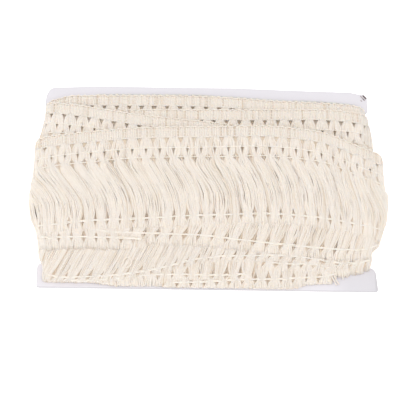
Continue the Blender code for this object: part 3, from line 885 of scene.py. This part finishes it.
def make_ring_solid(name, runs, profile):
    """A closed tube all round the winding. profile gives y, reach and tone of each corner."""
    corners = [place(runs, reach, y, HIDDEN_DEPTH)[0] for y, reach, _ in profile]
    verts = np.stack(corners, 1)
    count, sides, _ = verts.shape
    index = np.arange(count * sides).reshape(count, sides)
    after = np.roll(index, -1, 0)
    quads = np.stack([index, after, np.roll(after, -1, 1), np.roll(index, -1, 1)], -1).reshape(-1, 4)
    return add_mesh(name, verts, quads.tolist(), np.tile([tone for _, _, tone in profile], count))


def make_inner_layers():
    """What lies under the turns that show: fluted like the yarns of hidden tassels, and darkened as painted
    shade.
    """
    runs = ring_runs(YARN_RADIUS)
    flute = FLUTE_DEPTH * np.cos(2 * np.pi * runs / (2 * YARN_RADIUS)) * (1 + 0.5 * np.sin(runs * 0.71))
    top_1, top_2, top_3 = (height_of(f"top_heading_{i}", runs) for i in (1, 2, 3))
    across = np.clip(runs % (FRONT_RUN + SIDE_RUN) / FRONT_RUN, 0, 1)
    bottom = HIDDEN_SIDE_BOTTOM - HIDDEN_FRONT_DROP * np.sqrt(np.sin(np.pi * across))
    outer = height_of("outer_heading", runs)
    flat = np.ones_like(runs)
    full = HIDDEN_REACH + SIDE_FLARE * on_side(runs)
    y = top_1 - HIDDEN_BELOW_HEADING
    # The hidden layers' tones darken them as painted shade
    edges = [(y, 1.0, HOLE_SHADE_TONE)]
    for next_top, low_reach, high_reach, tone in (
        (np.maximum(top_2, top_3), 1.0, 3.6, HOLE_SHADE_TONE),
        (np.maximum(top_3, outer), 3.6, 6.2, HOLE_SHADE_TONE),
        (outer, 6.2, 11.6, PALE_SHADE_TONE),
    ):
        y = np.minimum(next_top - HIDDEN_BELOW_HEADING, y - 2)
        edges += [(y + 1, low_reach, HOLE_SHADE_TONE), (y, high_reach, tone)]
    edges += [(y - 10, 11.6, PALE_SHADE_TONE), (y - 12, 10.1, SLIT_SHADE_TONE), (y - 24, 10.1, SLIT_SHADE_TONE)]
    edges += [(y - 30, HIDDEN_REACH, PALE_SHADE_TONE), (y - 38, full, PALE_SHADE_TONE)]
    edges += [(-30 * flat, full, PALE_SHADE_TONE), (-31 * flat, 1.2, PALE_SHADE_TONE), (bottom, 1.2, PALE_SHADE_TONE)]
    slack = 1 - HIDDEN_SIDE_SLACK * on_side(runs)
    profile = [(edges[0][0], 0.3 * flat, HOLE_SHADE_TONE)]
    profile += [(y, reach * slack + flute, tone) for y, reach, tone in edges]
    profile += [(bottom, 0.3 * flat, PALE_SHADE_TONE)]
    return make_ring_solid("hidden_layers", runs, profile)


def shader_of(material):
    return material.node_tree.nodes["Principled BSDF"]


def feed(material, node, inputs):
    """Give each input of a node its value, or link it where an output is given."""
    for name, value in inputs.items():
        if isinstance(value, bpy.types.NodeSocket):
            material.node_tree.links.new(value, node.inputs[name])
        else:
            node.inputs[name].default_value = value


def new_material(name, inputs):
    material = bpy.data.materials.new(name)
    material.use_nodes = True
    feed(material, shader_of(material), inputs)
    return material


def add_node(material, kind, inputs, **settings):
    node = material.node_tree.nodes.new("ShaderNode" + kind)
    for name, value in settings.items():
        setattr(node, name, value)
    feed(material, node, inputs)
    return node


def add_math(material, operation, *values):
    return add_node(material, "Math", dict(enumerate(values)), operation=operation).outputs[0]


def add_noise(material, place, scale, detail):
    return add_node(material, "TexNoise", {"Vector": place, "Scale": scale, "Detail": detail}).outputs["Fac"]


def add_ramp(material, share, colours, end=1.0):
    """A ramp from the first colour to the second, which it reaches at the end."""
    ramp = add_node(material, "ValToRGB", {"Fac": share})
    for element, colour in zip(ramp.color_ramp.elements, colours):
        element.color = (*colour, 1)
    ramp.color_ramp.elements[1].position = end
    return ramp.outputs["Color"]


def add_bump(material, height, strength, distance):
    bump = add_node(material, "Bump", {"Height": height, "Strength": strength, "Distance": distance})
    feed(material, shader_of(material), {"Normal": bump.outputs["Normal"]})


def cotton(name):
    """Cotton: tone varies from yarn to yarn and low tones are painted shade towards the deep colour, plies
    twist along it and fibres stand off it.
    """
    colour, deep_colour, roughness, ply_pitch = COTTONS[name]
    material = new_material(name, {
        "Roughness": roughness, "Specular IOR Level": 0.25, "Sheen Weight": 0.25, "Sheen Roughness": 0.5,
        "Subsurface Weight": 0.3, "Subsurface Scale": 0.0015, "Subsurface Radius": (1.0, 0.75, 0.55),
    })
    coordinates = add_node(material, "TexCoord", {}).outputs
    tone = add_node(material, "Attribute", {}, attribute_name="tone").outputs["Fac"]
    patches = add_noise(material, coordinates["Object"], 55, 3)
    deepest, palest = TONE_RANGE
    spread = add_node(material, "MapRange", {"Value": tone, "From Min": deepest, "From Max": palest})
    both = add_math(material, "MULTIPLY_ADD", patches, 0.35, spread.outputs["Result"])
    shade = add_ramp(material, both, (deep_colour, colour), 0.75)
    feed(material, shader_of(material), {"Base Color": shade})
    split = add_node(material, "SeparateXYZ", {0: coordinates["UV"]}).outputs
    turns = add_math(material, "MULTIPLY", split["X"], 2.0)
    along = add_math(material, "MULTIPLY_ADD", split["Y"], 1 / ply_pitch, turns)
    twist = add_math(material, "PINGPONG", along, 0.5)
    fibres = add_noise(material, coordinates["Object"], 2600, 2)
    add_bump(material, add_math(material, "MULTIPLY_ADD", fibres, 0.5, twist), 0.5, 0.00025)
    return material


def board_material():
    """Smooth white board with a faint mottle, in the walls' grey (partly painted shade) where it is cut,
    darker towards the right end of the lower right ear, and with painted shade along that ear's right edge.
    """
    material = new_material("white_board", {"Roughness": 0.55})
    coordinates = add_node(material, "TexCoord", {}).outputs
    face = add_ramp(material, add_noise(material, coordinates["Object"], 18, 6), BOARD_COLOURS)
    split = add_node(material, "SeparateXYZ", {0: coordinates["Object"]}).outputs
    shares = []
    # Darker towards the right end of the lower right ear, with painted shade along its right edge
    for axis, (start, end, share) in (("X", EAR_DARKENING), ("X", RIGHT_EDGE_PAINTED_SHADE), ("Y", DARKENING_BELOW)):
        limits = {"Value": split[axis], "From Min": start * MM, "From Max": end * MM, "To Max": share}
        shares.append(add_node(material, "MapRange", limits).outputs["Result"])
    wall = add_node(material, "Attribute", {}, attribute_name="wall").outputs["Fac"]
    darkened = add_math(material, "ADD", shares[0], shares[1])
    darkened = add_math(material, "MULTIPLY", darkened, shares[2])
    darkened = add_math(material, "MAXIMUM", darkened, wall)
    mix = add_node(material, "Mix", {"Factor": darkened, "A": face, "B": WALL_COLOUR}, data_type="RGBA")
    feed(material, shader_of(material), {"Base Color": mix.outputs["Result"]})
    add_bump(material, add_noise(material, coordinates["Object"], 900, 2), 0.15, 0.0001)
    return material


def torn_board(name, colours):
    """Matte board pulp, mottled."""
    material = new_material(name, {"Roughness": 0.9})
    coordinates = add_node(material, "TexCoord", {}).outputs
    pulp = add_noise(material, coordinates["Object"], 700, 4)
    feed(material, shader_of(material), {"Base Color": add_ramp(material, pulp, colours)})
    return material


def pick_upright(obj, spot):
    """Select the upright edges of the board at a place, or none."""
    mesh = obj.data
    for edge in mesh.edges:
        first, second = (mesh.vertices[i].co for i in edge.vertices)
        upright = abs(first.z - second.z) > MM and (first.xy - second.xy).length < 0.01 * MM
        edge.select = upright and (first.xy - Vector(spot) * MM).length < 0.1 * MM
    bpy.ops.object.mode_set(mode="EDIT")


def leave_edit():
    bpy.ops.mesh.select_all(action="DESELECT")
    bpy.ops.object.mode_set(mode="OBJECT")


def rounded_corners(obj, spot, radius, steps):
    """Bevel the upright edge of the board at a place."""
    pick_upright(obj, spot)
    bpy.ops.mesh.bevel(offset=radius * MM, offset_type="OFFSET", segments=steps, affect="EDGES")
    leave_edit()


def move_corners(obj, spot, shift):
    """Move the upright edge of the board at a place."""
    pick_upright(obj, spot)
    bpy.ops.transform.translate(value=(shift[0] * MM, shift[1] * MM, 0))
    leave_edit()


def start_block(name, size):
    """A block round the origin, left in edit mode with all of it selected."""
    bpy.ops.object.select_all(action="DESELECT")
    bpy.ops.mesh.primitive_cube_add(size=1)
    block = bpy.context.object
    block.name = block.data.name = name
    bpy.ops.object.mode_set(mode="EDIT")
    bpy.ops.transform.resize(value=[length * MM for length in size])
    return block


def cut_across(places, axis):
    """Cut the block that is being edited at each place along an axis, and leave it."""
    for place in places:
        bpy.ops.mesh.select_all(action="SELECT")
        bpy.ops.mesh.bisect(plane_co=[share * place * MM for share in axis], plane_no=axis)
    leave_edit()


def soften_board(board):
    """Bevel the edges between the board's faces and its walls, and mark the walls."""
    mesh = board.data
    flat_faces = [abs(face.normal.z) > 0.9 for face in mesh.polygons]
    sides_of = {}
    for number, face in enumerate(mesh.polygons):
        for key in face.edge_keys:
            sides_of.setdefault(key, []).append(flat_faces[number])
    for edge in mesh.edges:
        edge.select = sorted(sides_of[tuple(sorted(edge.vertices))]) == [False, True]
    bpy.ops.object.mode_set(mode="EDIT")
    bpy.ops.mesh.bevel(offset=EDGE_SOFTNESS * MM, offset_type="OFFSET", segments=2, affect="EDGES")
    bpy.ops.mesh.select_all(action="SELECT")
    bpy.ops.mesh.normals_make_consistent(inside=False)
    bpy.ops.object.mode_set(mode="OBJECT")
    bpy.ops.object.shade_smooth_by_angle(angle=math.radians(50))
    # Walls and bevels are marked for the walls' grey: the cut board's grey, partly painted shade
    wall = board.data.attributes.new("wall", "FLOAT", "CORNER")
    shares = []
    for face in board.data.polygons:
        shares += [0.0 if abs(face.normal.z) > 0.97 else 1.0] * face.loop_total
    wall.data.foreach_set("value", shares)


def make_board():
    """The card: a plank cut back at both sides so that ears hold the winding, its edges softened."""
    half, high = CARD_LENGTH / 2, CARD_HEIGHT / 2
    waist = half - EAR_DEPTH
    board = start_block("white_card", (2 * waist, CARD_HEIGHT, CARD_THICKNESS))
    bpy.ops.mesh.select_mode(type="FACE")
    bpy.ops.transform.translate(value=(0, 0, MIDDLE_HEIGHT * MM))
    cut_across((RECESS_TOP, RECESS_BOTTOM), (0, 1, 0))
    for side in (-1, 1):
        for face in board.data.polygons:
            outer = face.normal.x * side > 0.9 and abs(face.center.x) > (waist - 0.1) * MM
            face.select = outer and not RECESS_BOTTOM * MM < face.center.y < RECESS_TOP * MM
        bpy.ops.object.mode_set(mode="EDIT")
        bpy.ops.mesh.extrude_region_move(TRANSFORM_OT_translate={"value": (side * EAR_DEPTH * MM, 0, 0)})
        leave_edit()
    bpy.ops.object.mode_set(mode="EDIT")
    bpy.ops.mesh.select_mode(type="EDGE")
    cut_across([x for x, _ in TOP_EDGE_BOW], (1, 0, 0))
    for x, rise in TOP_EDGE_BOW:
        move_corners(board, (x, high), (0, rise))
    rounded_corners(board, (-half, high), CORNER_TOP_LEFT, 8)
    rounded_corners(board, (half, high), CORNER_TORN, 1)
    rounded_corners(board, (-half, -high), CORNER_SMALL, 4)
    for x, radius in ((-half, CORNER_LEFT_EAR), (half, CORNER_RIGHT_EAR)):
        rounded_corners(board, (x, RECESS_TOP), CORNER_RECESS, 4)
        rounded_corners(board, (x, RECESS_BOTTOM), radius, 5)
    move_corners(board, (half, -high), (RIGHT_CORNER_OUT, 0))
    rounded_corners(board, (half + RIGHT_CORNER_OUT, -high), CORNER_SMALL, 4)
    soften_board(board)
    return board


def make_torn_plies():
    """Plies of the board laid open at its torn corner: short slanting strips."""
    strips = []
    for number, (middle, length, width) in enumerate(TORN_PLIES):
        strip = start_block(f"torn_ply_{number + 1}", (length, width, PLY_THICKNESS))
        bpy.ops.transform.rotate(value=math.radians(TORN_SLANT), orient_axis="Z", center_override=(0, 0, 0))
        bpy.ops.transform.translate(value=Vector((*middle, CARD_TOP + PLY_RISE)) * MM)
        bpy.ops.mesh.select_all(action="SELECT")
        bpy.ops.mesh.bevel(offset=PLY_SOFTNESS * MM, offset_type="OFFSET", segments=1, affect="EDGES")
        bpy.ops.object.mode_set(mode="OBJECT")
        strips.append(strip)
    return strips


def finish_piece(obj, material, slot, *nodes):
    obj.data.materials.clear()
    obj.data.materials.append(material)
    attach(obj, "root")
    if nodes:
        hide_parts(*nodes)


def add_lattice_threads(name, turn, material):
    """The threads along a turn's lattice, as far down as its yarns are made."""
    reach = turn["reach"] - THREAD_DEPTH - LATTICE_THREAD_SUNK
    for number, fall in enumerate(THREAD_FALLS):
        if fall < turn["last_fall"]:
            row = make_thread(
                f"{name}_{number + 1}", turn["line"], -fall, reach, LATTICE_THREAD_RADIUS, None,
                turn["borders"], turn["seed"] + LATTICE_SEED + number, LATTICE_DIP,
            )
            finish_piece(row, material, "tack_thread")


def add_tack_threads(name, turn, seed, material, node):
    """The two threads stitched side by side across a turn's tassels."""
    reach = turn["reach"][0][1] if isinstance(turn["reach"], tuple) else turn["reach"]
    for number, aside in enumerate(TACK_ASIDES):
        tack = make_thread(
            f"{name}_tack_thread_{number + 1}", turn["line"], aside, reach - TACK_THREAD_SUNK,
            TACK_THREAD_RADIUS, turn["span"], turn["borders"], seed + number, turn["dip"],
        )
        finish_piece(tack, material, "tack_thread", node)


def make_outer_turn(yarn, band, thread):
    seen, unseen = bundle_numbers(None, OUTER_BORDERS)
    front = make_outer_yarns("outer_yarns_front", seen, OUTER_FRONT_YARNS, OUTER_TURN["seed"])
    finish_piece(front, yarn, "cotton", "outer_turn")
    falls = with_fewer_falls(FALLS)
    back = make_outer_yarns("outer_yarns_back", unseen, OUTER_BACK_YARNS, OUTER_BACK_SEED, falls)
    finish_piece(back, yarn, "cotton", "outer_turn")
    add_lattice_threads("outer_lattice_thread", OUTER_TURN, thread)
    add_tack_threads("outer", OUTER_TACK, OUTER_TACK_SEED, thread, "outer_thread")
    for piece in make_heading("outer_heading", OUTER_TURN, OUTER_HEADING_SEED):
        finish_piece(piece, band, "cotton", "outer_turn")


def make_top_turns(yarn, band, thread):
    covers = [turn["line"] for turn in TOP_TURNS.values()] + ["outer_heading"]
    for name, turn in TOP_TURNS.items():
        covers = covers[1:]
        seen, unseen = (uncovered(numbers, turn, covers) for numbers in bundle_numbers(None, turn["borders"]))
        front = make_top_yarns(name + "_yarns_front", turn, seen, TOP_FRONT_YARNS, False)
        finish_piece(front, yarn, "cotton", name)
        if len(unseen):
            back = make_top_yarns(name + "_yarns_back", turn, unseen, TOP_BACK_YARNS, True)
            finish_piece(back, yarn, "cotton", name)
        for piece in make_heading(name + "_heading", turn, turn["seed"]):
            finish_piece(piece, band, "cotton", name)
        add_lattice_threads(name + "_thread", turn, thread)


def make_lower_turns(yarn, thread):
    for name, turn in LOWER_TURNS.items():
        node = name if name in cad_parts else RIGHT_TURN_NODE
        seen, unseen = bundle_numbers(turn["span"], turn["borders"])
        front = make_lower_yarns(name + "_yarns_front", turn, seen, LOWER_FRONT_YARNS, False)
        finish_piece(front, yarn, "cotton", node)
        if len(unseen):
            back = make_lower_yarns(name + "_yarns_back", turn, unseen, LOWER_BACK_YARNS, True)
            finish_piece(back, yarn, "cotton", node)
        add_tack_threads(name, turn, turn["seed"] + TACK_SEED, thread, node.replace("turn", "thread"))


def make_fringe():
    yarn, band, thread, under, shaded = (cotton(name) for name in COTTONS)
    make_outer_turn(yarn, band, thread)
    make_top_turns(yarn, band, thread)
    make_lower_turns(yarn, thread)
    for number, (name, places) in enumerate(LOOSE_STRANDS.items()):
        finish_piece(make_loose_strand(name, places, STRAND_SEED + number), yarn, "cotton")
    edge = make_thread(
        "hidden_turn_edge", "top_heading_1", HIDDEN_EDGE_RISE, HIDDEN_EDGE_REACH, HIDDEN_EDGE_RADIUS,
        HIDDEN_EDGE_SPAN, TOP_TURNS["top_turn_1"]["borders"], HIDDEN_EDGE_SEED, HIDDEN_EDGE_DIP,
        HIDDEN_EDGE_BEADS,
    )
    finish_piece(edge, shaded, "cotton")
    finish_piece(make_inner_layers(), under, "cotton", "inner_layers")


def make_card_pieces():
    finish_piece(make_board(), board_material(), "card_board", "card")
    dark = torn_board("torn_board", ((0.12, 0.09, 0.085), (0.20, 0.155, 0.15)))
    pale = torn_board("torn_board_pale", ((0.40, 0.35, 0.35), (0.50, 0.45, 0.45)))
    for number, strip in enumerate(make_torn_plies()):
        finish_piece(strip, pale if number else dark, "card_board")


def make_camera():
    data = bpy.data.cameras.new("camera")
    data.sensor_width = SENSOR_WIDTH
    data.lens = SENSOR_WIDTH * CAMERA_FOCAL_PIXELS / PHOTO_SIDE
    data.clip_start = 0.01
    data.clip_end = 20
    right, up = Vector(CAMERA_RIGHT).normalized(), Vector(CAMERA_UP).normalized()
    back = right.cross(up).normalized()
    up = back.cross(right)
    camera = bpy.data.objects.new("camera", data)
    turn = Matrix((right, up, back)).transposed().to_4x4()
    camera.matrix_world = Matrix.Translation(Vector(CAMERA_PLACE) * MM) @ turn
    bpy.context.scene.collection.objects.link(camera)
    bpy.context.scene.camera = camera


def make_studio():
    """Pale floor, a wide soft light above and a weaker one from the viewer's side."""
    bpy.ops.object.select_all(action="DESELECT")
    bpy.ops.mesh.primitive_plane_add(size=6)
    floor = bpy.context.object
    floor.name = "floor"
    floor.location.z = -0.0002
    floor.data.materials.append(new_material("pale_floor", {
        "Base Color": (0.93, 0.93, 0.93, 1), "Roughness": 0.9,
        "Emission Color": (1, 1, 1, 1), "Emission Strength": 0.5,
    }))
    for name, spot, aim, size, power in (
        ("key_light", (-0.9, 0.1, 1.35), (0, 0, 0), 1.6, 5.56),
        ("fill_light", (0.25, -0.75, 1.5), (0, 0, 0), 1.6, 5.76),
    ):
        data = bpy.data.lights.new(name, "AREA")
        data.size = size
        data.energy = power
        light = bpy.data.objects.new(name, data)
        light.location = spot
        light.rotation_euler = (Vector(aim) - Vector(spot)).to_track_quat("-Z", "Y").to_euler()
        bpy.context.scene.collection.objects.link(light)
    world = bpy.data.worlds.new("studio")
    world.use_nodes = True
    world.node_tree.nodes["Background"].inputs["Color"].default_value = (1, 1, 1, 1)
    world.node_tree.nodes["Background"].inputs["Strength"].default_value = 0.9
    bpy.context.scene.world = world
    bpy.context.scene.view_settings.view_transform = "Standard"


make_camera()
make_studio()
make_fringe()
make_card_pieces()
